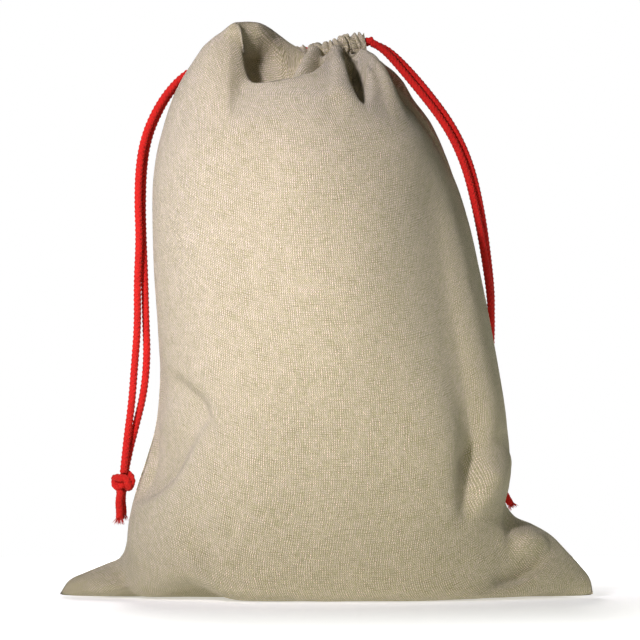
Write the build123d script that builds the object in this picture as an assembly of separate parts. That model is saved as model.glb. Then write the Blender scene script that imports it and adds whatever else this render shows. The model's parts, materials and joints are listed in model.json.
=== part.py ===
from build123d import *
import os
from math import pi, radians, tan

import numpy as np

# Drawstring gift sack of two linen-look panels, standing upright as if it were filled.
# Millimetres. +Z up, the front panel faces -Y, and the seam plane is y = 0.

SKIN = 1.6              # panel wall: cloth plus the little it bends when it is filled
FLOOR_DIP = 0.6         # the base is shaped this far below z = 0, then planed flat at z = 0
COLUMNS = 37            # points along one row of a panel
RISE_STEPS = 27         # steps from the bottom seam up to the mouth

CORD_D = 6.5
CORD_R = CORD_D / 2
TUNNEL_R = CORD_R + 0.9     # room in the hem for the cord to slide

CASING_W = 11.0         # thickness of the gathered hem
CASING_H = 16.0         # height of the gathered hem
CASING_TILT = 0.16      # the hem rises to the right by this much per millimetre
CASING_MID = (4.0, 508.0)   # x and z of the hem's middle
EXIT_LEFT, EXIT_RIGHT = -27.0, 35.0     # x where the cords leave the hem
EXIT_Y = 5.9            # the two tunnels lie side by side at the exits
STRAIGHT = 15.0         # straight length of tunnel behind each exit
MOUTH_Y = 15.0          # how far the hem bows out at its middle, before rounding

STUB_OUT = 2.0          # cord showing past the hem inside its sliding stub

SEAM_W = 8.0            # seam allowance
SEAM_T = 2.0
SEAM_GAP = 0.4          # the allowance starts just inside the panels
SEAM_STEPS = 22
BOTTOM_SEAM_L = 430.0
THREAD_R = 0.45

ARC_SHARE = 0.45        # share of a run that the arc at its end may use
KNOT_CORE = 8.0
KNOT_TURN = 6.6

# Rows of a panel from the bottom seam up to the mouth:
# left seam x, z; right seam x, z; depth from the seam plane; z at the middle; squareness
ROWS = [
    (-246, 3, 246, 3, 0, -FLOOR_DIP, 4.0),
    (-238, 15, 243, 17, 14, -FLOOR_DIP, 4.0),
    (-222, 23, 233, 30, 34, -FLOOR_DIP, 4.0),
    (-205, 30, 221, 43, 55, -FLOOR_DIP, 3.8),
    (-189, 38, 207, 57, 76, -FLOOR_DIP, 3.4),
    (-184, 52, 190, 67, 94, -0.2, 3.0),
    (-183, 66, 173, 75, 106, 7, 2.8),
    (-180, 82, 165, 87, 112, 24, 2.6),
    (-174, 104, 166, 106, 117, 55, 2.4),
    (-166, 128, 169, 130, 122, 98, 2.3),
    (-159, 152, 167, 155, 125, 140, 2.2),
    (-154, 200, 161, 200, 127, 195, 2.2),
    (-156, 250, 152, 250, 127, 250, 2.2),
    (-159, 300, 142, 300, 126, 305, 2.2),
    (-160, 350, 131, 348, 124, 358, 2.2),
    (-159, 390, 119, 388, 119, 402, 2.2),
    (-155, 418, 109, 412, 110, 436, 2.1),
    (-147, 442, 96, 437, 96, 461, 2.0),
    (-131, 466, 79, 460, 78, 479, 2.0),
    (-102, 482, 63, 477, 57, 490, 2.0),
    (-70, 488, 50, 489, 36, 495, 2.0),
    (-42, 490, 40, 496, 20, 497.6, 2.0),
    (-27, 491.5, 34, 501, 12.5, 497.8, 2.0),
]

# Puffed lobes of cloth round the gathered mouth: x, y, rise, spread in x, spread in y
LOBES = [
    (-84, -50, 45.3, 44, 34),
    (-134, -48, 26, 26, 40),
    (-66, 54, 34, 36, 30),
    (54, 48, 18, 28, 26),
    (46, -46, 10, 22, 24),
]
LOBE_BASE, LOBE_FULL = 410.0, 480.0     # lobes grow in between these heights
LOBE_CLEAR = 18.0       # and die away within this distance of the seam plane

LEFT_FRONT = [
    (-33.5, -5.9, 502.0), (-54, -4, 500.5), (-80, 0, 500), (-106, 3, 495.5), (-130, 4, 485),
    (-147, 4, 468), (-160, 3, 447), (-169, 2, 424), (-173.5, 0, 398), (-174.5, -1, 365),
    (-173, -1, 330), (-175, -1, 290), (-174.5, -1, 250), (-177.5, -1, 212), (-180, 0, 178),
    (-184.5, -0.5, 145), (-187.5, -0.5, 114),
]
LEFT_BACK = [
    (-33.5, 5.9, 502.0), (-54, 7, 500.5), (-80, 9, 500.5), (-106, 10.5, 496), (-130, 11, 485.5),
    (-147, 11, 468.5), (-159.5, 10.5, 447), (-168.5, 9.5, 424), (-172.5, 8.5, 397), (-173.5, 8, 362),
    (-171.5, 7.5, 327), (-169.5, 7, 294), (-168, 7, 258), (-166, 7, 222), (-169, 7, 188),
    (-177, 7, 156), (-183, 6.6, 133), (-186.5, 6.4, 114),
]
RIGHT_FRONT = [
    (41.5, -5.9, 512.6), (51, -4.5, 507.5), (62.5, -1.5, 496), (78, 0, 477.5), (94, 0.5, 458),
    (109.5, 1, 437), (121, 2, 416), (130, 5, 393), (137, 9, 366), (143, 14, 338),
    (148, 20, 310), (152.5, 28, 282), (154.5, 40, 256), (154, 54, 228), (157, 64, 198),
    (160.5, 70.5, 168), (162, 74, 144), (163, 74.4, 125),
]
RIGHT_BACK = [
    (41.5, 5.9, 512.6), (51.5, 5.5, 508), (63.5, 6.5, 497), (79.5, 7.6, 479), (96, 8.2, 459),
    (111.5, 8.7, 438), (123, 9.7, 417), (132, 12.6, 394), (139, 16.6, 367), (145, 21.6, 339),
    (149.5, 27.8, 311), (153.5, 36, 283), (154.5, 48, 257), (153, 62, 229), (155, 72, 199),
    (158, 79, 169), (160.5, 81.6, 145), (163, 81.4, 125),
]
LEFT_KNOT = (-188, 3, 105.5)
RIGHT_KNOT = (163, 78, 117)
LEFT_TAILS = {
    "front": [(-190, -1.5, 98), (-192, -3, 88), (-190.5, -2.5, 77), (-191.5, -3, 68)],
    "back": [(-188.5, 6.5, 98), (-189.5, 8, 89), (-188, 8.5, 79), (-188.5, 8, 71)],
}
RIGHT_TAILS = {
    "front": [(160.5, 75.5, 109.5), (162.5, 77, 99), (167, 76, 88), (168, 77, 77)],
    "back": [(167.5, 80, 109.5), (170.5, 81, 100), (175, 80, 91), (178.5, 81, 83)],
}

parts = {}


def solid_of(shape):
    """The one solid in a result, turned the right way out."""
    found = shape.solids()[0]
    return found if found.volume > 0 else Solid(found.wrapped.Reversed())


def run_lengths(points):
    """Distance along a chain of points, at each point."""
    steps = np.linalg.norm(np.diff(points, axis=0), axis=1)
    return np.concatenate([[0], np.cumsum(steps)])


def evened(points, count):
    """The same chain with its points evenly spaced."""
    length = run_lengths(points)
    even = np.linspace(0, length[-1], count)
    return np.stack([np.interp(even, length, values) for values in np.transpose(points)], axis=1)


def smoothed(points, steps=12):
    """A smooth curve through the points, as a finer chain."""
    length = run_lengths(points)
    slope = np.gradient(points, length, axis=0)
    chain = []
    for a in range(len(points) - 1):
        span = length[a + 1] - length[a]
        for t in np.arange(steps) / steps:
            start, end = 1 - 3 * t**2 + 2 * t**3, 3 * t**2 - 2 * t**3
            leave, arrive = span * (t - 2 * t**2 + t**3), span * (t**3 - t**2)
            chain.append(start * points[a] + end * points[a + 1] + leave * slope[a] + arrive * slope[a + 1])
    return np.array([*chain, points[-1]])


def skin_insets(index):
    """How far the inside of a row lies from its outside: side, seam z, depth and middle z."""
    last = len(ROWS) - 1
    side = np.interp(index, [0, 1, 2, 6, 8, 18, last], [4.5, 2.8, 2.0, 1.6, 1.0, 0.9, 1.0])
    seam = np.interp(index, [0, 1, 6, 9, 15, 19, last - 1, last], [-0.9, -1, -0.9, 0, 0, -1, -1, 0])
    depth = np.interp(index, [0, 1, 6, last], [0, 0.5, 1, 1])
    middle = np.interp(index, [0, 5, 8, 15, 19, last - 1, last], [1.2, 1.2, 0, 0, -1, -1, 0])
    return side, seam, depth, middle


def lobe_rise(x, y, z):
    """Extra height of the cloth where it puffs up beside the mouth."""
    grown = np.clip((z - LOBE_BASE) / (LOBE_FULL - LOBE_BASE), 0, 1)
    total = np.zeros_like(x)
    for cx, cy, rise, wide, deep in LOBES:
        total += rise * np.exp(-((x - cx) / wide) ** 2 - ((y - cy) / deep) ** 2)
    return total * grown * (1 - np.exp(-(y / LOBE_CLEAR) ** 2))


def row_points(index, side_sign, inset):
    """One row of a panel as evenly spaced points, from the left seam to the right seam."""
    left_x, left_z, right_x, right_z, depth, middle_z, square = ROWS[index]
    side, seam, deep, middle = (inset * amount for amount in skin_insets(index))
    left_x, right_x = left_x + side, right_x - side
    left_z, right_z = left_z + seam, right_z + seam
    depth, middle_z = max(depth - deep, 0), middle_z + middle
    turn = np.linspace(0, pi, 721)
    along, across = np.cos(turn), np.sin(turn) ** (2 / square)
    x = (left_x + right_x) / 2 - (right_x - left_x) / 2 * np.sign(along) * abs(along) ** (2 / square)
    y = side_sign * depth * across
    seam_z = np.interp(x, [left_x, right_x], [left_z, right_z])
    z = seam_z + (middle_z - seam_z) * (1 - (1 - across ** 1.5) ** 1.5)
    if inset and index < 2:
        z = np.maximum(z, middle_z)
    z = z + lobe_rise(x, y, z)
    return evened(np.stack([x, y, z], axis=1), COLUMNS)


def skin_rows(side_sign, inset):
    """Curves across one skin of a panel, evenly spaced from the bottom seam up to the mouth."""
    rows = [row_points(index, side_sign, inset) for index in range(len(ROWS))]
    columns = [evened(smoothed(column), RISE_STEPS + 1) for column in np.swapaxes(rows, 0, 1)]
    grid = np.swapaxes(columns, 0, 1)
    grid[:, 0, 1] = grid[:, -1, 1] = 0
    return [Edge.make_spline([Vector(*map(float, point)) for point in row]) for row in grid]


def ruled(edges_a, edges_b):
    return [Face.make_surface_from_curves(a, b) for a, b in zip(edges_a, edges_b)]


def side_lines(rows, end):
    """The straight pieces of a skin's side edge, between the ends of its rows."""
    return [Edge.make_line(a @ end, b @ end) for a, b in zip(rows, rows[1:])]


def panel(side_sign):
    """A cloth panel: outer and inner skins joined round their edges, planed flat at z = 0."""
    outer, inner = skin_rows(side_sign, 0), skin_rows(side_sign, SKIN)
    faces = ruled(outer, outer[1:]) + ruled(inner, inner[1:])
    for end in (0, 1):
        faces += ruled(side_lines(outer, end), side_lines(inner, end))
    faces += ruled([outer[0], outer[-1]], [inner[0], inner[-1]])
    below = Pos(0, 0, -FLOOR_DIP * 5) * Box(600, 400, FLOOR_DIP * 10)
    return solid_of(Solid(Shell(faces))) - below


def side_seam(column):
    """Seam allowance of a side seam, standing inwards from the inside of the panels."""
    points = np.array([row_points(index, 1, SKIN)[column] for index in range(2, len(ROWS) - 1)])
    chain = evened(smoothed(points[:, [0, 2]]), SEAM_STEPS)
    slope = np.gradient(chain, axis=0)
    inward = np.stack([slope[:, 1], -slope[:, 0]], axis=1) * (1 if column == 0 else -1)
    inward /= np.linalg.norm(inward, axis=1)[:, None]
    near, far = chain + inward * SEAM_GAP, chain + inward * (SEAM_GAP + SEAM_W)
    edges = [Spline(*[(float(x), 0, float(z)) for x, z in side]) for side in (near, far)]
    edges += [Line(edges[0] @ end, edges[1] @ end) for end in (0, 1)]
    return extrude(make_face(Wire(edges)), SEAM_T / 2, dir=(0, 1, 0), both=True)


def bottom_seam():
    low = SKIN + SEAM_GAP
    return Pos(0, 0, low + SEAM_W / 2) * Box(BOTTOM_SEAM_L, SEAM_T, SEAM_W)


def casing_path(side_sign, out=0.0, drop=0.0):
    """Centre line of one hem tunnel, or a line beside it further out and lower."""
    middle_x, middle_z = CASING_MID
    flat = [
        (EXIT_LEFT, EXIT_Y), (EXIT_LEFT + STRAIGHT, EXIT_Y), (middle_x - 7, MOUTH_Y),
        (middle_x + 7, MOUTH_Y), (EXIT_RIGHT - STRAIGHT, EXIT_Y), (EXIT_RIGHT, EXIT_Y),
    ]
    points = [(x, side_sign * (y + out), middle_z - drop + CASING_TILT * (x - middle_x)) for x, y in flat]
    return rounded_path(points)


def turn_radii(points):
    """The largest arc that each corner's two runs leave room for."""
    vectors = [Vector(*b) - Vector(*a) for a, b in zip(points, points[1:])]
    radii = []
    for before, after in zip(vectors, vectors[1:]):
        half = radians(before.get_angle(after)) / 2
        radii.append(ARC_SHARE * min(before.length, after.length) / tan(half))
    return radii


def rounded_path(points):
    return FilletPolyline(*points, radius=turn_radii(points))


def swept(path, section):
    plane = Plane(origin=path @ 0, z_dir=path % 0, x_dir=(0, 1, 0))
    return sweep(plane * section, path=path)


def casing(side_sign):
    """Half of the gathered hem: a flattened tube with a tunnel for the cords."""
    path = casing_path(side_sign)
    return swept(path, Ellipse(CASING_W / 2, CASING_H / 2)) - swept(path, Circle(TUNNEL_R))


def casing_stitch(side_sign):
    """The row of stitches that closes the hem below the cords."""
    drop = CASING_H * 0.34
    out = CASING_W / 2 * (1 - (2 * drop / CASING_H) ** 2) ** 0.5 + THREAD_R
    return swept(casing_path(side_sign, out, drop), Circle(THREAD_R))


def bartack(exit_x, inward):
    """Tight stitches that join the two halves of the hem between the cords."""
    wide, tall = 4.0, 10.0
    x = exit_x + inward * wide
    z = CASING_MID[1] + CASING_TILT * (x - CASING_MID[0])
    return Pos(x, 0, z) * Box(wide, 2 * EXIT_Y - CASING_W, tall)


def cord_tube(name, points):
    """A cord's tube of straight runs and arcs, with its figures printed as a check."""
    path, radii = rounded_path(points), turn_radii(points)
    tube = swept(path, Circle(CORD_R))
    share = tube.volume / (pi * CORD_R**2 * path.length)
    print(f"{name}: length {path.length:.0f} mm, volume over section x length {share:.4f},",
          "radii", " ".join(f"{radius:.0f}" for radius in radii))
    return tube


def exit_point(exit_x, y, past):
    """A point in line with a tunnel, past its exit by this much along x."""
    x = exit_x + past
    return (x, y, CASING_MID[1] + CASING_TILT * (x - CASING_MID[0]))


def lead_stub(exit_x, y, outward):
    """The last straight piece of cord inside the hem, which slides out through the exit."""
    start = exit_point(exit_x, y, -outward * (STRAIGHT - 1))
    end = exit_point(exit_x, y, outward * STUB_OUT)
    return swept(Line(start, end), Circle(CORD_R))


def knot(center):
    """An overhand knot's outer form: a tight core with two turns of cord round it."""
    core = Sphere(KNOT_CORE)
    for tilt, lean in ((20, 15), (65, -30)):
        core += Rot(tilt, lean, 0) * Torus(KNOT_TURN, CORD_R)
    return Pos(*center) * core


def cord_loop(side, exit_x, outward, strands, knot_at, tails):
    """One drawcord: two leads in the hem, two hanging strands, a knot and two short tails."""
    for name, y in (("front", -EXIT_Y), ("back", EXIT_Y)):
        parts[f"{side}_{name}_lead"] = lead_stub(exit_x, y, outward)
        for kind, routes in (("strand", strands), ("tail", tails)):
            node = f"{side}_{name}_{kind}"
            parts[node] = cord_tube(node, routes[name])
    parts[f"{side}_knot"] = knot(knot_at)


def main():
    parts["front_panel"] = panel(-1)
    parts["back_panel"] = panel(1)
    parts["left_side_seam"] = side_seam(0)
    parts["right_side_seam"] = side_seam(-1)
    parts["bottom_seam"] = bottom_seam()
    for name, side_sign in (("front", -1), ("back", 1)):
        parts[f"{name}_casing"] = casing(side_sign)
        parts[f"{name}_casing_stitch"] = casing_stitch(side_sign)
    parts["left_bartack"] = bartack(EXIT_LEFT, 1)
    parts["right_bartack"] = bartack(EXIT_RIGHT, -1)
    cord_loop("left", EXIT_LEFT, -1, {"front": LEFT_FRONT, "back": LEFT_BACK}, LEFT_KNOT, LEFT_TAILS)
    cord_loop("right", EXIT_RIGHT, 1, {"front": RIGHT_FRONT, "back": RIGHT_BACK}, RIGHT_KNOT, RIGHT_TAILS)
    os.makedirs("parts", exist_ok=True)
    for name, shape in parts.items():
        export_step(shape, f"parts/{name}.step")


main()
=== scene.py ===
import json
import math

import bpy
import numpy as np
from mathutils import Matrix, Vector


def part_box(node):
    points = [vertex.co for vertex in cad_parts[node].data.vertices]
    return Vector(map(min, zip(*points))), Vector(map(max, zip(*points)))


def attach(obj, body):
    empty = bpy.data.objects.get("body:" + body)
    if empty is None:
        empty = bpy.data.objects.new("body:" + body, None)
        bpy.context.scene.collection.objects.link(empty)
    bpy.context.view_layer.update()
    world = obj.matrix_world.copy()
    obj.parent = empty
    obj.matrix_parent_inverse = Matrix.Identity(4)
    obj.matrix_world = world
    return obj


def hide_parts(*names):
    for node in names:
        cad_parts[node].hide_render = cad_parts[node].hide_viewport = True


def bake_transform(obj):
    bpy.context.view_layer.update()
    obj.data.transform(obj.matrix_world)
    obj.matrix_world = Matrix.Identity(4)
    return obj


# Fabric gift sack: cloth skins, hems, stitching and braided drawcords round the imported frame.
# Metres, +Z up, the front faces -Y. The cloth's shape is worked out in millimetres.

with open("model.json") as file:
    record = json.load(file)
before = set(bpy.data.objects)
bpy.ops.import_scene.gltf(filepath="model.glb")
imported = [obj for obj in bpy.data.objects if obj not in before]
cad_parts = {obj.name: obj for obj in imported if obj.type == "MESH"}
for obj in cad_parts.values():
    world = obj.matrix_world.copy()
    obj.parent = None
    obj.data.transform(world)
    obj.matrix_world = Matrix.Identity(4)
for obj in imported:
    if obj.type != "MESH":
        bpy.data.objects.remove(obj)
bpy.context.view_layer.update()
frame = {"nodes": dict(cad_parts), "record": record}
rng = np.random.default_rng(7)

SKIN = 0.0009                       # cloth thickness
SEAM_CLEAR = 0.00002                # each panel's inside stays this far from the seam plane
COLUMNS = 400     # points round the sack
ROWS_UP = 245     # points from the bottom seam to the mouth
CORD_D = 0.0065                     # drawcord
CORD_R = CORD_D / 2
AMBIENT = 0.045                     # the studio's fill light, where the camera sees white


# ---------------------------------------------------------------- camera and light

def make_camera():
    data = bpy.data.cameras.new("camera")
    data.lens, data.sensor_width = 213.0, 36.0
    data.clip_start, data.clip_end = 0.1, 50
    camera = bpy.data.objects.new("camera", data)
    bpy.context.scene.collection.objects.link(camera)
    spot, aim = Vector((-0.006, -3.5, 0.17)), Vector((-0.006, 0, 0.2557))
    camera.location = spot
    camera.rotation_euler = (aim - spot).to_track_quat("-Z", "Y").to_euler()
    bpy.context.scene.camera = camera


def light(name, kind, spot, aim, power, color):
    data = bpy.data.lights.new(name, kind)
    data.energy, data.color = power, color
    lamp = bpy.data.objects.new(name, data)
    bpy.context.scene.collection.objects.link(lamp)
    lamp.location = spot
    lamp.rotation_euler = (Vector(aim) - Vector(spot)).to_track_quat("-Z", "Y").to_euler()
    return data


def area_light(name, spot, aim, size, power, color):
    data = light(name, "AREA", spot, aim, power, color)
    data.shape, data.size = "DISK", size


def spot_light(name, spot, aim, angle, size, power, color):
    data = light(name, "SPOT", spot, aim, power, color)
    data.spot_size, data.spot_blend = math.radians(angle), 1.0
    data.shadow_soft_size = size


def make_light():
    """A soft key, a pool on the upper left, a fill low on the right, a rim and a back light."""
    bpy.context.scene.view_settings.view_transform = "Standard"
    area_light("key", (-1.15, -1.9, 1.3), (0, 0, 0.3), 0.5, 10, (1.0, 0.98, 0.78))
    spot_light("pool", (-0.9, -1.85, 1.0), (-0.062, 0, 0.295), 22, 0.15, 258, (1.0, 0.918, 1.16))
    spot_light("low", (0.35, -1.9, 0.5), (0.16, -0.05, 0.05), 12, 0.3, 110, (1.0, 0.98, 0.9))
    area_light("rim", (1.7, 0.9, 0.5), (0.05, 0, 0.25), 0.7, 2.5, (0.94, 1, 0.9))
    area_light("back", (-0.35, 2.3, 0.9), (0, 0, 0.28), 0.6, 34, (1.0, 0.97, 0.98))
    world = bpy.data.worlds.new("studio")
    world.use_nodes = True
    nodes, links = world.node_tree.nodes, world.node_tree.links
    background = nodes["Background"]
    background.inputs["Color"].default_value = (1, 1, 1, 1)
    path, pick = nodes.new("ShaderNodeLightPath"), nodes.new("ShaderNodeMix")
    pick.data_type = "FLOAT"
    pick.inputs["A"].default_value, pick.inputs["B"].default_value = AMBIENT, 1.0
    links.new(path.outputs["Is Camera Ray"], pick.inputs["Factor"])
    links.new(pick.outputs["Result"], background.inputs["Strength"])
    bpy.context.scene.world = world


# ---------------------------------------------------------------- materials

class Shader:
    """A small helper that builds a node tree in plain steps."""

    def __init__(self, name):
        self.material = bpy.data.materials.new(name)
        self.material.use_nodes = True
        self.tree = self.material.node_tree
        self.surface = self.tree.nodes["Principled BSDF"]

    def node(self, kind, **inputs):
        made = self.tree.nodes.new("ShaderNode" + kind)
        for name, value in inputs.items():
            self.put(made.inputs[name.replace("_", " ")], value)
        return made

    def put(self, socket, value):
        if isinstance(value, bpy.types.NodeSocket):
            self.tree.links.new(value, socket)
        else:
            socket.default_value = value

    def math(self, operation, *values):
        made = self.tree.nodes.new("ShaderNodeMath")
        made.operation = operation
        for socket, value in zip(made.inputs, values):
            self.put(socket, value)
        return made.outputs[0]

    def mix(self, factor, a, b):
        made = self.tree.nodes.new("ShaderNodeMix")
        made.data_type, made.blend_type = "RGBA", "MIX"
        self.put(made.inputs["Factor"], factor)
        self.put(made.inputs[6], a)
        self.put(made.inputs[7], b)
        return made.outputs[2]

    def noise(self, vector, scale, detail=2.0, rough=0.5):
        made = self.node("TexNoise", Vector=vector, Scale=scale, Detail=detail, Roughness=rough)
        return made.outputs["Fac"]

    def stretch(self, vector, x, y):
        made = self.node("Mapping", Vector=vector, Scale=(x, y, 1.0))
        return made.outputs["Vector"]

    def ramp(self, value, low, high):
        made = self.node("MapRange", Value=value)
        made.inputs["From Min"].default_value, made.inputs["From Max"].default_value = low, high
        return made.outputs["Result"]

    def bump(self, height, distance, strength=1.0):
        made = self.node("Bump", Height=height, Distance=distance, Strength=strength)
        return made.outputs["Normal"]


def rgb(red, green, blue):
    """A colour written in screen values, as linear RGBA."""
    def linear(value):
        value /= 255
        return value / 12.92 if value <= 0.04045 else ((value + 0.055) / 1.055) ** 2.4
    return linear(red), linear(green), linear(blue), 1.0


THREADS_PER_M = 980.0       # threads in the weave, each way
YARN_FINE, YARN_LONG = 1000, 110    # scales of a yarn's unevenness, across it and along it


def linen_material():
    """Plain weave of uneven threads, pale one way and olive the other, with painted shade where the
    weave sits low between the threads.
    """
    s = Shader("linen")
    uv = s.node("TexCoord").outputs["UV"]       # the panel's flat cut, in metres
    split = s.node("SeparateXYZ", Vector=uv)
    across, along = split.outputs[0], split.outputs[1]
    wobble = s.math("MULTIPLY", s.math("SUBTRACT", s.noise(uv, 130, 4, 0.7), 0.5), 0.0036)
    u = s.math("MULTIPLY", s.math("ADD", across, wobble), THREADS_PER_M)
    v = s.math("MULTIPLY", s.math("ADD", along, wobble), THREADS_PER_M)
    warp_yarn = s.noise(s.stretch(uv, YARN_FINE, YARN_LONG), 1.0, 2)
    weft_yarn = s.noise(s.stretch(uv, YARN_LONG, YARN_FINE), 1.0, 2)
    warp_wave = s.math("COSINE", s.math("MULTIPLY", u, math.pi))
    weft_wave = s.math("COSINE", s.math("MULTIPLY", v, math.pi))
    check = s.math("MULTIPLY", warp_wave, weft_wave)
    rows = s.math("MULTIPLY", weft_wave, s.ramp(s.noise(uv, 60, 2), 0.1, 0.9))
    bands = s.math("MULTIPLY", warp_wave, s.ramp(s.noise(uv, 50, 2), 0.1, 0.9))
    stouter = s.math("MULTIPLY", s.math("SUBTRACT", warp_yarn, weft_yarn), 0.25)
    uneven = s.math("ADD", s.math("ADD", rows, bands), stouter)
    warp_top = s.ramp(s.math("ADD", check, uneven), -0.45, 0.45)
    height = s.node("Mix")
    height.data_type = "FLOAT"
    s.put(height.inputs["Factor"], warp_top)
    s.put(height.inputs["A"], s.math("ABSOLUTE", weft_wave))
    s.put(height.inputs["B"], s.math("ABSOLUTE", warp_wave))
    weave = height.outputs["Result"]
    # the third colour is painted shade for the gaps between the threads
    pale, olive, painted_gap_shade = rgb(255, 236, 216), rgb(212, 204, 158), rgb(100, 98, 50)
    warp_color = s.mix(s.ramp(warp_yarn, 0.32, 0.64), olive, pale)
    weft_color = s.mix(s.ramp(weft_yarn, 0.34, 0.64), rgb(142, 138, 84), rgb(196, 187, 142))
    color = s.mix(warp_top, weft_color, warp_color)
    # painted shade: the colour turns dark olive where the weave's height is low, in the gaps
    # between the threads
    color = s.mix(s.ramp(weave, 0.6, 0.1), color, painted_gap_shade)
    patch = s.ramp(s.noise(uv, 9, 3, 0.6), 0.3, 0.7)
    color = s.mix(s.math("MULTIPLY", patch, 0.12), color, rgb(205, 190, 156))
    s.put(s.surface.inputs["Base Color"], color)
    s.surface.inputs["Roughness"].default_value = 0.92
    s.surface.inputs["Specular IOR Level"].default_value = 0.18
    s.surface.inputs["Sheen Weight"].default_value = 0.25
    s.surface.inputs["Sheen Roughness"].default_value = 0.6
    slub = s.math("MULTIPLY", s.math("ADD", warp_yarn, weft_yarn), 0.5)
    s.put(s.surface.inputs["Normal"], s.bump(s.math("ADD", weave, slub), 0.0006, 0.9))
    return s.material


def cord_material():
    """Red cotton braid: the plaits are in the mesh, the fine yarn twist and fuzz are here."""
    s = Shader("cord_red")
    uv = s.node("TexCoord").outputs["UV"]
    place = s.node("TexCoord").outputs["Object"]
    yarn = s.noise(s.stretch(uv, 9000, 900), 1.0, 2)
    tone = s.noise(place, 90, 3, 0.6)
    color = s.mix(s.ramp(yarn, 0.3, 0.7), rgb(176, 14, 9), rgb(218, 34, 20))
    color = s.mix(s.math("MULTIPLY", s.ramp(tone, 0.35, 0.75), 0.35), color, rgb(150, 10, 9))
    s.put(s.surface.inputs["Base Color"], color)
    s.surface.inputs["Roughness"].default_value = 0.8
    s.surface.inputs["Specular IOR Level"].default_value = 0.25
    s.surface.inputs["Sheen Weight"].default_value = 0.35
    s.surface.inputs["Sheen Tint"].default_value = rgb(255, 120, 100)
    fuzz = s.math("ADD", yarn, s.noise(place, 2600, 2))
    s.put(s.surface.inputs["Normal"], s.bump(fuzz, 0.0003, 0.8))
    return s.material


def thread_material():
    s = Shader("thread")
    place = s.node("TexCoord").outputs["Object"]
    twist = s.noise(place, 1500, 2)
    color = s.mix(s.ramp(twist, 0.3, 0.7), rgb(176, 160, 122), rgb(214, 198, 166))
    s.put(s.surface.inputs["Base Color"], color)
    s.surface.inputs["Roughness"].default_value = 0.75
    s.put(s.surface.inputs["Normal"], s.bump(twist, 0.0002, 0.6))
    return s.material


def floor_material():
    s = Shader("floor")
    place = s.node("TexCoord").outputs["Object"]
    grain = s.noise(place, 3, 3)
    color = s.mix(s.ramp(grain, 0.3, 0.7), (0.9, 0.9, 0.9, 1), (0.93, 0.93, 0.93, 1))
    s.put(s.surface.inputs["Base Color"], color)
    s.surface.inputs["Roughness"].default_value = 0.9
    # painted glow: the floor emits light, weaker near the sack and stronger towards its rim, so it
    # fades into the white backdrop and lights the sack from below
    s.surface.inputs["Emission Color"].default_value = (1, 1, 1, 1)
    reach = s.node("VectorMath", Vector=place)
    reach.operation = "LENGTH"
    painted_floor_glow = s.math("MULTIPLY_ADD", s.ramp(reach.outputs["Value"], 0.22, 0.6), 0.65, 0.4)
    s.put(s.surface.inputs["Emission Strength"], painted_floor_glow)
    return s.material


make_camera()
make_light()
LINEN, CORD_RED, THREAD = linen_material(), cord_material(), thread_material()


# ---------------------------------------------------------------- small mesh tools

def mesh_piece(name, points, faces, material, uv=None):
    """A smooth mesh object from arrays. uv holds one pair for each corner of each face."""
    mesh = bpy.data.meshes.new(name)
    mesh.from_pydata([tuple(p) for p in points], [], [tuple(f) for f in faces])
    if uv is not None:
        layer = mesh.uv_layers.new(name="UVMap")
        layer.data.foreach_set("uv", np.asarray(uv, np.float32).ravel())
    mesh.polygons.foreach_set("use_smooth", [True] * len(mesh.polygons))
    mesh.materials.append(material)
    mesh.update()
    piece = bpy.data.objects.new(name, mesh)
    bpy.context.scene.collection.objects.link(piece)
    return piece


def tube_faces(rows, columns, start=0):
    """Quads and the two flat ends of a tube: its points are rings, one after another."""
    faces = [tuple(f + start) for f in grid_faces(rows, columns, around=True)]
    ring = start + np.arange(columns)
    return faces + [tuple(ring[::-1]), tuple(ring + (rows - 1) * columns)]


def grid_faces(rows, columns, around=False):
    """Quads of a grid of points, joined round if the last column meets the first."""
    a = np.arange(rows - 1)[:, None] * columns
    b = np.arange(columns if around else columns - 1)[None, :]
    c = (b + 1) % columns
    return np.stack([a + b, a + c, a + columns + c, a + columns + b], axis=-1).reshape(-1, 4)


def lengths_along(points):
    return np.concatenate([[0], np.cumsum(np.linalg.norm(np.diff(points, axis=0), axis=1))])


# ---------------------------------------------------------------- drawcords

LEFT_FRONT = [
    (-0.0335, -0.0059, 0.5020), (-0.054, -0.004, 0.5005), (-0.080, 0.000, 0.5000),
    (-0.106, 0.003, 0.4955), (-0.130, 0.004, 0.485), (-0.147, 0.004, 0.468), (-0.160, 0.003, 0.447),
    (-0.169, 0.002, 0.424), (-0.1735, 0.000, 0.398), (-0.1745, -0.001, 0.365),
    (-0.173, -0.001, 0.330), (-0.175, -0.001, 0.290), (-0.1745, -0.001, 0.250),
    (-0.1775, -0.001, 0.212), (-0.180, 0.000, 0.178), (-0.1845, -0.0005, 0.145),
    (-0.1875, -0.0005, 0.114),
]
LEFT_BACK = [
    (-0.0335, 0.0059, 0.5020), (-0.054, 0.007, 0.5005), (-0.080, 0.009, 0.5005),
    (-0.106, 0.0105, 0.496), (-0.129, 0.011, 0.4845), (-0.1455, 0.011, 0.4675),
    (-0.1575, 0.0105, 0.446), (-0.166, 0.0095, 0.4235), (-0.170, 0.0085, 0.397),
    (-0.171, 0.008, 0.362), (-0.170, 0.0075, 0.327), (-0.1685, 0.007, 0.294),
    (-0.1675, 0.007, 0.258), (-0.166, 0.007, 0.222), (-0.169, 0.007, 0.188), (-0.177, 0.007, 0.156),
    (-0.183, 0.0066, 0.133), (-0.1865, 0.0064, 0.114),
]
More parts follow.
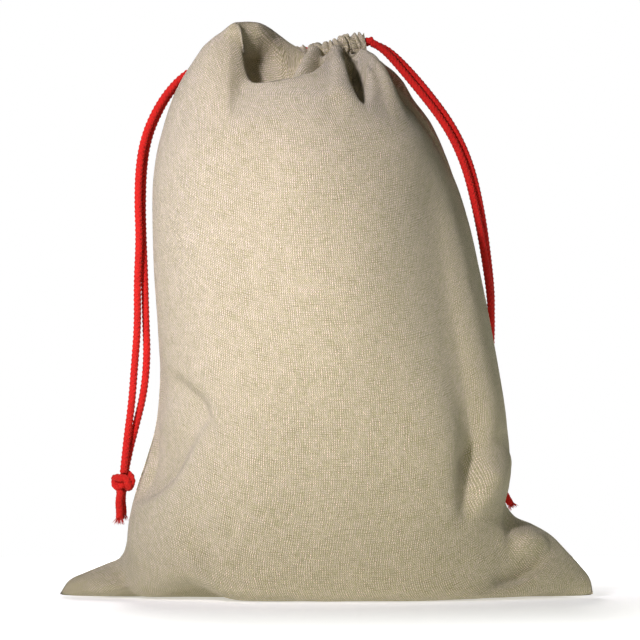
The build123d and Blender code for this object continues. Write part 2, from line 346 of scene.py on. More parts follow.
RIGHT_FRONT = [
    (0.0415, -0.0059, 0.5126), (0.051, -0.0045, 0.5075), (0.0625, -0.0015, 0.496),
    (0.078, 0.000, 0.4775), (0.094, 0.0005, 0.458), (0.1095, 0.001, 0.437), (0.121, 0.002, 0.416),
    (0.130, 0.005, 0.393), (0.137, 0.009, 0.366), (0.143, 0.014, 0.338), (0.148, 0.020, 0.310),
    (0.1525, 0.028, 0.282), (0.1545, 0.040, 0.256), (0.154, 0.054, 0.228), (0.157, 0.064, 0.198),
    (0.1605, 0.0705, 0.168), (0.162, 0.074, 0.144), (0.163, 0.0744, 0.125),
]
RIGHT_BACK = [
    (0.0415, 0.0059, 0.5126), (0.053, 0.0055, 0.509), (0.0662, 0.0065, 0.4985),
    (0.0828, 0.0076, 0.481), (0.0993, 0.0082, 0.461), (0.1148, 0.0087, 0.4395),
    (0.1264, 0.0097, 0.4182), (0.1353, 0.0126, 0.3948), (0.1419, 0.0166, 0.3675),
    (0.147, 0.0216, 0.3392), (0.1508, 0.0278, 0.311), (0.154, 0.036, 0.283), (0.1545, 0.048, 0.257),
    (0.153, 0.062, 0.229), (0.155, 0.072, 0.199), (0.158, 0.079, 0.169), (0.1605, 0.0816, 0.145),
    (0.163, 0.0814, 0.125),
]
LEFT_TAILS = {
    "front": [
        (-0.190, -0.0015, 0.098), (-0.192, -0.003, 0.088), (-0.1905, -0.0025, 0.077),
        (-0.1915, -0.003, 0.068)],
    "back": [
        (-0.1885, 0.0065, 0.098), (-0.1895, 0.008, 0.089), (-0.188, 0.0085, 0.079),
        (-0.1885, 0.008, 0.071)],
}
RIGHT_TAILS = {
    "front": [
        (0.1605, 0.0755, 0.1095), (0.1625, 0.077, 0.099), (0.165, 0.076, 0.088),
        (0.167, 0.077, 0.077)],
    "back": [
        (0.164, 0.080, 0.1095), (0.166, 0.081, 0.100), (0.170, 0.080, 0.090),
        (0.1765, 0.081, 0.080)],
}
BRAID_PITCH = 0.0043        # from one plait to the next along the cord
BRAID_DEPTH = 0.0009        # height of a plait
BRAID_SWELL = 1.14          # the plaits' crests stand out past the cord's nominal radius
BRAID_SIDES = 32            # points round a cord
KNOT_SIZES = 0.0028, 0.0026     # the two windings of a knot
TAIL_TRIM = 6               # points left off a tail, where its frayed yarns begin
LEAD_EXTRA = 0.006          # how far a lead reaches on out into its strand
EXIT_TILT = 0.16            # slope of the hem, and of the leads in it


def evened(chain, count):
    """The same line with evenly spaced points."""
    length = lengths_along(chain)
    even = np.linspace(0, length[-1], count)
    return np.stack([np.interp(even, length, axis) for axis in chain.T], axis=1)


def spline_line(points, step=0.0007):
    """Points read from the smooth line of a route, evenly spaced."""
    curve = bpy.data.curves.new("route", "CURVE")
    curve.dimensions, curve.resolution_u = "3D", 24
    spline = curve.splines.new("NURBS")
    spline.points.add(len(points) - 1)
    for point, place in zip(spline.points, points):
        point.co = (*place, 1)
    spline.order_u, spline.use_endpoint_u = 3, True
    holder = bpy.data.objects.new("route", curve)
    line = bpy.data.meshes.new_from_object(holder)
    chain = np.array([v.co for v in line.vertices], float)
    bpy.data.objects.remove(holder)
    bpy.data.curves.remove(curve)
    bpy.data.meshes.remove(line)
    return evened(chain, max(int(lengths_along(chain)[-1] / step), 8))


def frames_along(chain, closed=False):
    """Two directions square to the line at each point, carried along without twisting."""
    tangent = np.gradient(chain, axis=0)
    if closed:
        tangent = np.roll(chain, -1, axis=0) - np.roll(chain, 1, axis=0)
    tangent /= np.linalg.norm(tangent, axis=1)[:, None]
    side = np.cross(tangent[0], (0.3, 1, 0.2))
    sides = []
    for t in tangent:
        side = side - t * (side @ t)
        side /= np.linalg.norm(side)
        sides.append(side.copy())
    sides = np.array(sides)
    return sides, np.cross(tangent, sides)


def braided_tube(name, chain, radius=CORD_R, closed=False, phase=0.0):
    """A plaited cord along a line: four plaits wind each way and pass over and under."""
    sides, ups = frames_along(chain, closed)
    along = lengths_along(chain)
    turn = np.linspace(0, 2 * np.pi, BRAID_SIDES, endpoint=False)
    pitch = BRAID_PITCH
    if closed:
        pitch = along[-1] / max(2 * round(along[-1] / pitch / 2), 2)
    grown, wound = np.meshgrid(along / pitch + phase, turn * 2 / np.pi, indexing="ij")
    a, b = wound + grown, wound - grown
    over = 0.5 + 0.5 * np.cos(np.pi * a) * np.cos(np.pi * b)
    ridge = np.maximum(abs(np.cos(np.pi * a)) ** 0.7 * over,
                       abs(np.cos(np.pi * b)) ** 0.7 * (1 - over))
    reach = radius * BRAID_SWELL - BRAID_DEPTH * (1 - ridge)
    if not closed:
        reach[0] *= 0.75
        reach[-1] *= 0.75
    ring = (np.cos(turn)[None, :, None] * sides[:, None]
            + np.sin(turn)[None, :, None] * ups[:, None])
    points = chain[:, None] + ring * reach[..., None]
    rows, columns = points.shape[:2]
    points = points.reshape(-1, 3)
    faces = tube_faces(rows, columns)
    if closed:
        faces[-2:] = [tuple(f) for f in seam_quads(rows, columns, points)]
    piece = mesh_piece(name, points, faces, CORD_RED)
    layer = piece.data.uv_layers.new(name="UVMap")
    corners = np.zeros(len(piece.data.loops), np.int32)
    piece.data.loops.foreach_get("vertex_index", corners)
    around = (corners % columns) / columns * 2 * np.pi * radius
    pairs = np.stack([around, along[corners // columns]], axis=1)
    layer.data.foreach_set("uv", pairs.astype(np.float32).ravel())
    return piece


def seam_quads(rows, columns, points):
    """Quads that close a ring-shaped tube, matched where its last circle meets its first."""
    first, last = points[:columns], points[(rows - 1) * columns:]
    shift = int(np.argmin(np.linalg.norm(first - last[0], axis=1)))
    k = np.arange(columns)
    start, after = (rows - 1) * columns, (k + 1) % columns
    return np.stack([start + k, start + after, (k + 1 + shift) % columns, (k + shift) % columns],
                    axis=-1)


def frayed_end(name, tip, direction, count=60, length=0.0065):
    """Loose cotton yarns that spread from a cut end."""
    direction = np.array(direction) / np.linalg.norm(direction)
    side = np.cross(direction, (0.2, 1, 0.1))
    side /= np.linalg.norm(side)
    up = np.cross(direction, side)
    points, faces = [], []
    steps, around = 6, 4
    for _ in range(count):
        angle, out = rng.uniform(0, 2 * np.pi), np.sqrt(rng.uniform(0, 1))
        away = side * np.cos(angle) + up * np.sin(angle)
        root = tip + away * out * CORD_R * 0.8 - direction * 0.0015
        bend = side * rng.normal(0, 0.35) + up * rng.normal(0, 0.35)
        reach = length * rng.uniform(0.55, 1.1)
        thick = rng.uniform(0.00018, 0.00034)
        start = len(points)
        for k in range(steps):
            t = k / (steps - 1)
            middle = (root + direction * reach * t + away * out * reach * 0.45 * t
                      + bend * reach * t * t * 0.6)
            size = thick * (1 - 0.6 * t)
            for corner in range(around):
                turn = 2 * np.pi * corner / around
                points.append(middle + (side * np.cos(turn) + up * np.sin(turn)) * size)
        faces += tube_faces(steps, around, start)
    return mesh_piece(name, points, faces, CORD_RED)


def overhand_knot(name, center, size, tilt, swing):
    """One cord's part of a tight overhand knot: it winds through itself three times."""
    t = np.linspace(0, 2 * np.pi, 150, endpoint=False)
    loop = np.stack([np.sin(t) + 2 * np.sin(2 * t), np.cos(t) - 2 * np.cos(2 * t),
                     -1.5 * np.sin(3 * t)], axis=1)
    c, s = math.cos(tilt), math.sin(tilt)
    x, y, z = loop[:, 0], loop[:, 2] * c - loop[:, 1] * s, loop[:, 1] * c + loop[:, 2] * s
    c, s = math.cos(swing), math.sin(swing)
    turned = np.stack([x * c - y * s, x * s + y * c, z * 1.2], axis=1)
    return braided_tube(name, np.array(center) + turned * size, CORD_R * 0.95, closed=True)


def lead_piece(side, name, outward):
    """The stretch of cord that slides inside the end of the hem."""
    low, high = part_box(f"{side}_{name}_lead")
    middle = (low + high) / 2
    x = np.linspace(low.x - (LEAD_EXTRA if outward < 0 else 0),
                    high.x + (LEAD_EXTRA if outward > 0 else 0), 40)
    chain = np.stack([x, np.full_like(x, middle.y), middle.z + EXIT_TILT * (x - middle.x)], axis=1)
    piece = braided_tube(f"{side}_{name}_lead_cord", chain)
    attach(piece, f"{side}_lead")
    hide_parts(f"{side}_{name}_lead")


def make_cord(side, outward, strands, tails, knot_at, knot_tilt):
    """One drawcord loop: two strands, the knot they end in, and two frayed tails."""
    lead, loop = f"{side}_lead", f"{side}_loop"
    first, second = KNOT_SIZES
    knots = [overhand_knot(f"{side}_overhand_knot", knot_at, first, knot_tilt, 0.2),
             overhand_knot(f"{side}_overhand_knot_second", knot_at, second, knot_tilt + 1.1, 1.7)]
    for knot in knots:
        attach(knot, loop)
    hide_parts(f"{side}_knot")
    for name, points in tails.items():
        chain = spline_line(points)[:-TAIL_TRIM]
        tail = braided_tube(f"{side}_{name}_tail_cord", chain, phase=0.4)
        fray = frayed_end(f"{side}_{name}_fray", chain[-1], chain[-1] - chain[-6])
        for piece in (tail, fray):
            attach(piece, loop)
        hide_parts(f"{side}_{name}_tail")
    for name, points in strands.items():
        chain = spline_line(points)
        strand = braided_tube(f"{side}_{name}_strand_cord", chain)
        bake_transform(strand)
        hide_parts(f"{side}_{name}_strand")
        lead_piece(side, name, outward)


make_cord("left", -1, {"front": LEFT_FRONT, "back": LEFT_BACK}, LEFT_TAILS,
          (-0.188, 0.003, 0.1055), 0.5)
make_cord("right", 1, {"front": RIGHT_FRONT, "back": RIGHT_BACK}, RIGHT_TAILS,
          (0.163, 0.078, 0.117), -0.3)


# ---------------------------------------------------------------- the sack's shape (millimetres)

# Rows from the bottom seam up to the mouth, as in the frame:
# left seam x, z; right seam x, z; depth from the seam plane; z at the middle; squareness
ROWS = np.array([
    (-246, 3, 246, 3, 0, 0.4, 4.0), (-238, 15, 243, 17, 14, 0.4, 4.0),
    (-222, 23, 233, 30, 34, 0.4, 4.0), (-205, 30, 221, 43, 55, 0.4, 3.8),
    (-189, 38, 207, 57, 76, 0.4, 3.4), (-184, 52, 190, 67, 94, 0.8, 3.0),
    (-183, 66, 173, 75, 106, 7, 2.8), (-180, 82, 165, 87, 112, 24, 2.6),
    (-174, 104, 166, 106, 117, 55, 2.4), (-166, 128, 169, 130, 122, 98, 2.3),
    (-159, 152, 167, 155, 125, 140, 2.2), (-154, 200, 161, 200, 127, 195, 2.2),
    (-156, 250, 152, 250, 127, 250, 2.2), (-159, 300, 142, 300, 126, 305, 2.2),
    (-160, 350, 131, 348, 124, 358, 2.2), (-159, 390, 118, 387, 119, 402, 2.2),
    (-155, 418, 106, 410, 110, 436, 2.1), (-147, 442, 91, 434, 96, 461, 2.0),
    (-131, 466, 74, 456, 78, 479, 2.0), (-102, 482, 60, 474, 57, 490, 2.0),
    (-70, 488, 49, 487, 36, 495, 2.0), (-42, 490, 40, 496, 20, 497.6, 2.0),
    (-27, 491.5, 34, 501, 12.5, 497.8, 2.0), (-25, 499, 33, 507, 13, 504, 2.0),
])


def step(value, low, high):
    """0 below low, 1 above high, and smooth between; low may be the greater."""
    t = np.clip((value - low) / (high - low), 0, 1)
    return t * t * (3 - 2 * t)


def upper(a, b, k):
    """The higher of two heights, rounded by about k where they meet."""
    return (a + b + np.sqrt((a - b) ** 2 + k * k)) / 2 - k / 4


def lower(a, b, k):
    """The lower of two heights, rounded by about k where they meet."""
    return (a + b - np.sqrt((a - b) ** 2 + k * k)) / 2 + k / 4


def row_chain(row, count):
    """One row of the front half, from the left seam to the right seam."""
    left_x, left_z, right_x, right_z, depth, middle_z, square = row
    turn = np.linspace(0, np.pi, 1801)
    along, across = np.cos(turn), np.sin(turn) ** (2 / square)
    half = (right_x - left_x) / 2
    x = (left_x + right_x) / 2 - half * np.sign(along) * abs(along) ** (2 / square)
    seam_z = np.interp(x, [left_x, right_x], [left_z, right_z])
    z = seam_z + (middle_z - seam_z) * (1 - (1 - across ** 1.5) ** 1.5)
    return evened(np.stack([x, -depth * across, z], axis=1), count)


STEPS_IN_SPAN = 14      # points between two given rows


def base_grid(columns, rows):
    """The smooth skin through the given rows.

    Its rows run from the bottom seam to the mouth, and its columns from left to right.
    """
    given = np.array([row_chain(row, columns) for row in ROWS])
    steps = np.linalg.norm(np.diff(given, axis=0), axis=2)
    ahead, back = steps[1:, :, None], steps[:-1, :, None]
    rise = np.diff(given, axis=0)
    slope = np.empty_like(given)
    slope[1:-1] = (rise[1:] / ahead * back + rise[:-1] / back * ahead) / (ahead + back)
    slope[0], slope[-1] = rise[0] / steps[0][:, None], rise[-1] / steps[-1][:, None]
    fine = []
    for k in range(len(given) - 1):
        span = steps[k][:, None]
        for t in np.arange(STEPS_IN_SPAN) / STEPS_IN_SPAN:
            fine.append((1 - 3 * t**2 + 2 * t**3) * given[k] + (3 * t**2 - 2 * t**3) * given[k + 1]
                        + span * (t - 2 * t**2 + t**3) * slope[k]
                        + span * (t**3 - t**2) * slope[k + 1])
    fine = np.array([*fine, given[-1]])
    return np.stack([evened(fine[:, c], rows) for c in range(columns)], axis=1)


def near_path(x, y, path):
    """Distance from each point to a path in the plane, and the path's other values there."""
    path = np.array(path, float)
    best = np.full(x.shape, np.inf)
    values = np.zeros(x.shape + (path.shape[1] - 2,))
    side = np.zeros(x.shape)
    for a, b in zip(path[:-1], path[1:]):
        run = b[:2] - a[:2]
        t = np.clip(((x - a[0]) * run[0] + (y - a[1]) * run[1]) / (run @ run), 0, 1)
        dx, dy = x - a[0] - run[0] * t, y - a[1] - run[1] * t
        gap = np.hypot(dx, dy)
        closer = gap < best
        best = np.where(closer, gap, best)
        side = np.where(closer, np.sign(run[0] * dy - run[1] * dx), side)
        values = np.where(closer[..., None], a[2:] + (b[2:] - a[2:]) * t[..., None], values)
    return best, values, side


FOLD_DROP = 20      # a fold's height falls (or rises) by this much at its reach
WALL_RISE = 60      # a hollow's wall rises by this much at its half width


def ridge(x, y, path, narrower=1):
    """Height over a ridge: path points are x, y, crest height, reach."""
    gap, values, _ = near_path(x, y, path)
    return values[..., 0] - FOLD_DROP * (gap / values[..., 1] * narrower) ** 2


def valley(x, y, path):
    """Height over a valley: path points are x, y, floor height, reach."""
    gap, values, _ = near_path(x, y, path)
    return values[..., 0] + FOLD_DROP * (gap / values[..., 1]) ** 2


def hollow(x, y, path):
    """Height over a flat floor with steep sides: path points are x, y, floor height, half width."""
    gap, values, _ = near_path(x, y, path)
    return values[..., 0] + WALL_RISE * (gap / values[..., 1]) ** 4


# Folds beside the mouth, seen from above: x, y, height, and reach or half width.
# The front panel's have y below zero.
FRONT_LOBE = [
    (-152, -6, 453, 17), (-141, -22, 475, 19), (-126, -34, 493, 22), (-110, -42, 512, 25),
    (-98, -46, 521, 27), (-84, -43, 529, 27), (-72, -33, 532, 20), (-60, -24, 531, 12),
    (-50, -22, 528, 9), (-40, -20, 522, 8), (-31, -17, 514, 8), (-23, -15, 507, 8),
]
COLUMN_FOLD = [
    (-9, -14, 508, 8), (-11, -23, 509, 8.5), (-15, -34, 503, 9), (-19, -46, 494, 9),
    (-25, -58, 483, 9), (-31, -70, 470, 8),
]
MIDDLE_FOLD = [
    (9, -14, 509, 8.5), (9, -27, 510, 9), (10, -42, 503, 9.5), (11, -56, 495, 10),
    (12, -70, 485, 13), (13, -86, 471, 16),
]
RIGHT_FOLD = [
    (32, -10, 506, 7), (43, -24, 502, 9), (51, -38, 493, 10), (58, -54, 479, 11),
    (64, -70, 463, 12),
]
SIDE_HOLLOW = [
    (-18, -66, 466, 10), (-11, -50, 468, 11), (-8, -36, 474, 8),
]
NOTCH = [
    (26, -32, 471, 11), (27.5, -48, 457, 12.5), (29.5, -66, 450, 13), (31, -78, 447, 12),
    (34, -88, 446, 7), (37, -97, 446, 3),
]
BACK_RIDGES = [
    [(-126, 34, 484, 20), (-104, 46, 499, 24), (-78, 52, 515, 24), (-60, 44, 517, 18),
     (-42, 27, 512, 11), (-29, 13, 506, 8)],
    [(-22, 15, 506, 7), (-26, 40, 500, 9), (-30, 64, 484, 12)],
    [(-5, 15, 508, 7), (-2, 36, 503, 10), (2, 60, 490, 13)],
    [(14, 14, 510, 7), (26, 34, 504, 9), (36, 52, 492, 12), (44, 66, 474, 14)],
    [(30, 10, 508, 7), (52, 20, 497, 10), (70, 27, 478, 13), (84, 32, 458, 15)],
]
BACK_VALLEYS = [
    [(-26, 14, 498, 3.5), (-40, 38, 488, 5), (-48, 66, 474, 7)],
    [(-12, 15, 499, 3.5), (-13, 38, 486, 5), (-14, 66, 475, 6)],
    [(5, 15, 500, 3.5), (14, 40, 486, 5), (20, 66, 474, 6)],
    [(24, 13, 501, 3.5), (42, 30, 484, 5), (56, 46, 466, 6)],
]


def shoulder(grid, front):
    """Raises the puffed folds beside the mouth and sinks the hollows between them.

    The folds grow in with height, the back ones later. The lobe over the front's main hollow is
    pushed forwards above it, and the wall under the lobe is pushed back.
    """
    x, y, z = grid[..., 0], grid[..., 1], grid[..., 2].copy()
    grown, late = step(z, 428, 474), step(z, 452, 474)
    if front:
        steeper = 1 + 0.6 * step(x, -90, -68) * step(y, -44, -64)
        shaped = upper(z, ridge(x, y, FRONT_LOBE, steeper), 7)
        shaped = upper(shaped, ridge(x, y, MIDDLE_FOLD), 5)
        shaped = upper(shaped, ridge(x, y, RIGHT_FOLD), 5)
        behind = -26 + 0.28 * (x + 46)
        main = 464 + 62 * (abs((x + 46) / 33) ** 6
                           + abs((2 * y - behind + 84) / (behind + 90)) ** 6)
        shaped = lower(shaped, main, 2)
        shaped = lower(shaped, hollow(x, y, SIDE_HOLLOW), 2)
        shaped = upper(shaped, ridge(x, y, COLUMN_FOLD), 3)
        z = z + grown * (shaped - z)
        notch = step(grid[..., 2], 444, 458)
        z = z + notch * (lower(z, hollow(x, y, NOTCH), 2) - z)
        roof = 508 - 18 * ((x + 60) / 20) ** 2
        over = step(z, roof - 3, roof + 4)
        wall = (step(x, -100, -84) * (1 - step(x, -64, -38)) * step(y, -62, -44)
                * (1 - step(y, -24, -10)))
        y = y + wall * (7 * step(z, 466, 476) * (1 - over) - 24 * over)
    else:
        shaped = z
        for path in BACK_RIDGES:
            shaped = upper(shaped, ridge(x, y, path), 6)
        for path in BACK_VALLEYS:
            shaped = lower(shaped, valley(x, y, path), 3)
        z = z + grown * late * (shaped - z)
    out = grid.copy()
    out[..., 1], out[..., 2] = y, z
    return out


def normals(grid):
    """Outward directions of a grid whose columns run from left to right, seen from outside."""
    down = np.gradient(grid, axis=0)
    over = np.gradient(grid, axis=1)
    normal = np.cross(over, down)
    return normal / np.maximum(np.linalg.norm(normal, axis=2), 1e-9)[..., None]


def soft_noise(x, y, sizes, seed):
    """A few seeded waves in scattered directions, between about -1 and 1."""
    waves = np.random.default_rng(seed)
    total = np.zeros_like(x)
    for size, weight in sizes:
        for _ in range(5):
            angle, phase = waves.uniform(0, 2 * np.pi, 2)
            length = size * waves.uniform(0.75, 1.35)
            across = x * np.cos(angle) + y * np.sin(angle)
            total += weight * np.sin(across * 2 * np.pi / length + phase) / 2.2
    return total


# Folds in the filled body, seen from the front: x, z, how far out (or in), and the reach on
# either side of the path: first on its left as it runs, then on its right.
FRONT_FOLDS = [
    [(84, 452, 0, 14, 18), (96, 420, -2.5, 14, 20), (107, 370, -5, 14, 21), (116, 300, -7, 15, 24),
     (126, 235, -9, 13, 26), (133, 185, -12, 12, 25), (140, 145, -16, 9, 20),
     (136, 116, -18, 7, 17), (130, 92, -13, 5, 12), (124, 74, -2, 6, 8)],
    [(174, 150, 0, 10, 10), (160, 144, -4, 12, 10), (146, 137, -6, 12, 9), (132, 126, -5, 10, 8)],
    [(162, 124, 3, 12, 10), (151, 112, 9, 14, 12), (144, 94, 8, 12, 14), (140, 74, 0, 14, 14)],
    [(168, 90, -1, 4, 5), (166, 72, -5, 4, 6), (165, 57, -4, 4, 5), (166, 43, 0, 5, 5)],
    [(-40, 430, 0, 40, 40), (-15, 380, 7, 50, 44), (0, 300, 10, 56, 46), (10, 220, 8, 58, 46),
     (14, 140, 0, 55, 46)],
    [(88, 420, 0, 50, 30), (92, 360, -6, 60, 32), (98, 290, -8, 60, 34), (98, 220, -6, 55, 34),
     (98, 170, 0, 40, 30)],
    [(-154, 206, -2, 12, 18), (-139, 195, -9, 10, 22), (-121, 180, -12, 9, 20),
     (-106, 160, -4, 7, 14)],
    [(-112, 168, -3, 7, 16), (-130, 142, -10, 8, 24), (-150, 115, -15, 9, 28),
     (-166, 101, -12, 8, 22), (-181, 92, -2, 7, 14)],
    [(-134, 92, 0, 12, 12), (-122, 70, -3.5, 13, 11), (-112, 50, -4, 13, 12),
     (-106, 30, 0, 12, 12)],
    [(150, 12, -3, 9, 7), (163, 17, -10, 12, 6), (178, 23, -12, 12, 6), (193, 33, -8, 9, 5),
     (204, 46, -1, 6, 5)],
    [(164, 56, 4, 12, 10), (180, 51, 11, 13, 11), (195, 48, 8, 10, 9), (206, 45, 0, 6, 6)],
    [(-196, 30, -1, 8, 6), (-188, 20, -5, 9, 7), (-184, 6, -6, 10, 8)],
    [(-236, 8, -1.0, 3, 3), (-228, 9, -3, 3.5, 3.5), (-219, 12, -0.5, 4, 4)],
]
BACK_FOLDS = [
    [(-112, 430, 0, 15, 15), (-118, 370, -3.5, 15, 18), (-122, 290, -4.5, 14, 18),
     (-128, 210, -6, 12, 16), (-126, 150, -8, 10, 13), (-118, 112, -2, 8, 9)],
    [(50, 490, 1, 10, 12), (66, 476, 7, 12, 14), (80, 459, 10, 14, 16), (95, 438, 9, 15, 18),
     (110, 412, 5, 15, 18), (119, 380, 0, 15, 18)],
    [(96, 400, 0, 15, 12), (108, 330, -3, 15, 12), (118, 250, -4, 14, 11), (128, 180, -6, 12, 9),
     (124, 140, 0, 9, 8)],
    [(-30, 70, 0, 16, 16), (-6, 46, -3, 15, 12), (20, 30, 0, 14, 14)],
    [(150, 14, -2, 7, 7), (170, 20, -7, 7, 8), (192, 36, -5, 7, 7), (204, 50, 0, 5, 5)],
    [(-152, 14, -2, 7, 7), (-168, 18, -6, 7, 8), (-184, 30, -4, 7, 7), (-192, 40, 0, 5, 5)],
]


def body_folds(grid, folds, seed):
    """Soft folds in the filled cloth, pushed in or out square to the skin."""
    x, z = grid[..., 0], grid[..., 2]
    push = soft_noise(x, z * 0.6, [(150, 1.3), (70, 0.5)], seed) * step(z, 4, 60)
    for path in folds:
        gap, values, side = near_path(x, z, path)
        reach = np.where(side > 0, values[..., 1], values[..., 2])
        push += values[..., 0] * np.exp(-(gap / reach) ** 2)
    seam = step(abs(grid[..., 1]), 0, 20)
    return grid + normals(grid) * (push * (0.1 + 0.9 * seam))[..., None]


# Kinds of pleats: how many, how high, how fast they fade
FRONT_PLEATS = [(23, 0.7, 6), (11.5, 1.5, 13)]
BACK_PLEATS = [(23, 0.7, 6), (11.5, 1.6, 15), (5.5, 2.0, 36)]


def pleats(grid, front, seed):
    """Small pleats that radiate from the mouth and die away."""
    columns = grid.shape[1]
    waves = np.random.default_rng(seed)
    gap = np.zeros(grid.shape[:2])
    steps = np.linalg.norm(np.diff(grid, axis=0), axis=2)
    gap[:-1] = np.cumsum(steps[::-1], axis=0)[::-1]
    place = np.linspace(0, 1, columns)
    stray = np.interp(place, np.linspace(0, 1, 14), waves.uniform(-0.35, 0.35, 14))
    total = np.zeros_like(gap)
    kinds = FRONT_PLEATS if front else BACK_PLEATS
    for count, size, fade in kinds:
        share = np.interp(place, np.linspace(0, 1, 30), waves.uniform(0.55, 1.25, 30))
        phase = count * place + stray * count * 0.18 + waves.uniform()
        wave = abs(np.sin(np.pi * phase)) * 2 - 1.1
        total += size * (wave * share)[None] * np.exp(-gap / fade)
    seam = step(abs(place - 0.5), 0.5, 0.44)
    return grid + normals(grid) * (total * seam)[..., None]


def relaxed(grid, rounds, share=0.5):
    """Evens out the points along rows and columns without moving the edges."""
    grid = grid.copy()
    for _ in range(rounds):
        middle = (grid[:-2, 1:-1] + grid[2:, 1:-1] + grid[1:-1, :-2] + grid[1:-1, 2:]) / 4
        grid[1:-1, 1:-1] += share * (middle - grid[1:-1, 1:-1])
    return grid


def spread(grid, share=0.8):
    """Moves the points along their rows towards even spacing."""
    out = grid.copy()
    for k, row in enumerate(grid):
        out[k] = row + share * (evened(row, len(row)) - row)
    return out


def panel_grid(front):
    """One panel's outside: shaped, folded and pleated, with its side edges in the seam plane."""
    grid = base_grid(COLUMNS // 2 + 1, ROWS_UP)
    if not front:
        grid[..., 1] *= -1
    grid = shoulder(grid, front)
    grid = spread(grid)
    grid = relaxed(grid, 4)
    facing = grid if front else grid[:, ::-1]
    facing = body_folds(facing, FRONT_FOLDS if front else BACK_FOLDS, 3 if front else 11)
    facing = pleats(facing, front, 5 if front else 9)
    grid = facing if front else facing[:, ::-1]
    grid[:, 0, 1] = grid[:, -1, 1] = 0
    grid[..., 1] = np.minimum(grid[..., 1], 0) if front else np.maximum(grid[..., 1], 0)
    floor = 0.5 + 0.3 * soft_noise(grid[..., 0], grid[..., 1], [(40, 0.5)], 2)
    grid[..., 2] = np.maximum(grid[..., 2], floor)
    if front:       # the lower left edge stands a little off the ground
        lift = 13 * np.exp(-((grid[..., 0] + 122) / 24) ** 2) * (1 - step(grid[..., 2], 2, 46))
        grid[..., 2] += lift * step(-grid[..., 1], 10, 60)
    return grid


def smoothed(values, reach=40):
    """Each row averaged over its neighbours, so the threads run evenly past the folds."""
    weight = np.hanning(2 * reach + 1)
    weight /= weight.sum()
    longer = np.pad(values, ((0, 0), (reach, reach)), mode="reflect", reflect_type="odd")
    return np.array([np.convolve(row, weight, mode="valid") for row in longer])


def panel_piece(name, grid, front):
    """A closed skin of cloth thickness: the outside, the inside and the rims."""
    points = grid / 1000
    out = normals(grid if front else grid[:, ::-1])
    out = out if front else out[:, ::-1]
    inside = points - out * SKIN
    rows, columns = grid.shape[:2]
    if front:
        inside[..., 1] = np.minimum(inside[..., 1], -SEAM_CLEAR)
    else:
        inside[..., 1] = np.maximum(inside[..., 1], SEAM_CLEAR)
    count = rows * columns
    quads = grid_faces(rows, columns)
    outer = quads if front else quads[:, ::-1]
    inner = (quads[:, ::-1] if front else quads) + count
    index = np.arange(count).reshape(rows, columns)
    rim = np.concatenate([index[0], index[1:, -1], index[-1, -2::-1], index[-2:0:-1, 0]])
    after = np.roll(rim, -1)
    band = np.stack([after, rim, rim + count, after + count], axis=1)
    band = band if front else band[:, ::-1]
    faces = np.concatenate([outer, inner, band])
    over = np.linalg.norm(np.diff(points, axis=1), axis=2)
    up = np.linalg.norm(np.diff(points, axis=0), axis=2)
    across = np.concatenate([np.zeros((rows, 1)), np.cumsum(over, axis=1)], axis=1)
    across -= across[:, columns // 2][:, None]
    along = np.concatenate([np.zeros((1, columns)), np.cumsum(up, axis=0)], axis=0)
    flat = np.stack([smoothed(across), smoothed(along)], axis=-1).reshape(-1, 2)
    flat = np.concatenate([flat, flat])
    both = np.concatenate([points.reshape(-1, 3), inside.reshape(-1, 3)])
    return mesh_piece(name, both, faces, LINEN, uv=flat[faces.ravel()])


for side in ("front", "back"):
    facing_front = side == "front"
    piece = panel_piece(f"{side}_panel_cloth", panel_grid(facing_front), facing_front)
    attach(piece, "root")
    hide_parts(f"{side}_panel")


# ---------------------------------------------------------------- gathered hem, stitching and tacks

HEM_PATH = np.array([
    (-28, 5.9), (-20, 5.9), (-12, 6.4), (-5, 12.6), (4, 15), (13, 12.6), (20, 6.4), (28, 5.9),
    (36, 5.9),
])
HEM_TOP = ([-27, -16, -6, 6, 12, 18, 26, 35], [4.6, 4.2, 4.0, 4.4, 6.6, 8.4, 8.8, 7.6])
HEM_LEAN = ([-27, 2, 14, 35], [0.15, 0.3, 1.1, 1.2])
HEM_SIDES = 56              # points round the hem
HEM_STATIONS = 300
HEM_BELOW = 9.6             # from the tunnel's centre line down to the hem's lower edge
HEM_HALF = 5.3              # half the hem's thickness
TUNNEL_R = 3.75
TUNNEL_X, TUNNEL_Z = 4, 508     # the middle of the tunnel's centre line
STITCH_TURN = 0.72          # angle below straight out at which the stitches sink in
STITCH_PITCH, STITCH_LONG = 0.0029, 0.0022      # metres along the hem


def hem_shape(front, seed):
    """Centre line, ruffle phase and section sizes along the hem of one panel."""
    sign = -1 if front else 1
    path = np.stack([HEM_PATH[:, 0], HEM_PATH[:, 1] * sign, HEM_PATH[:, 0] * 0], axis=1)
    flat = evened(path, 240)
    for _ in range(40):
        flat[1:-1] += 0.5 * ((flat[:-2] + flat[2:]) / 2 - flat[1:-1])
    flat = evened(flat, HEM_STATIONS)
    flat[:, 2] = TUNNEL_Z + EXIT_TILT * (flat[:, 0] - TUNNEL_X)
    waves = np.random.default_rng(seed)
    along = lengths_along(flat)
    stray = np.interp(along, np.linspace(0, along[-1], 16), waves.uniform(-0.3, 0.3, 16))
    size = np.interp(along, np.linspace(0, along[-1], 18), waves.uniform(0.6, 1.3, 18))
    return flat, along, stray, size


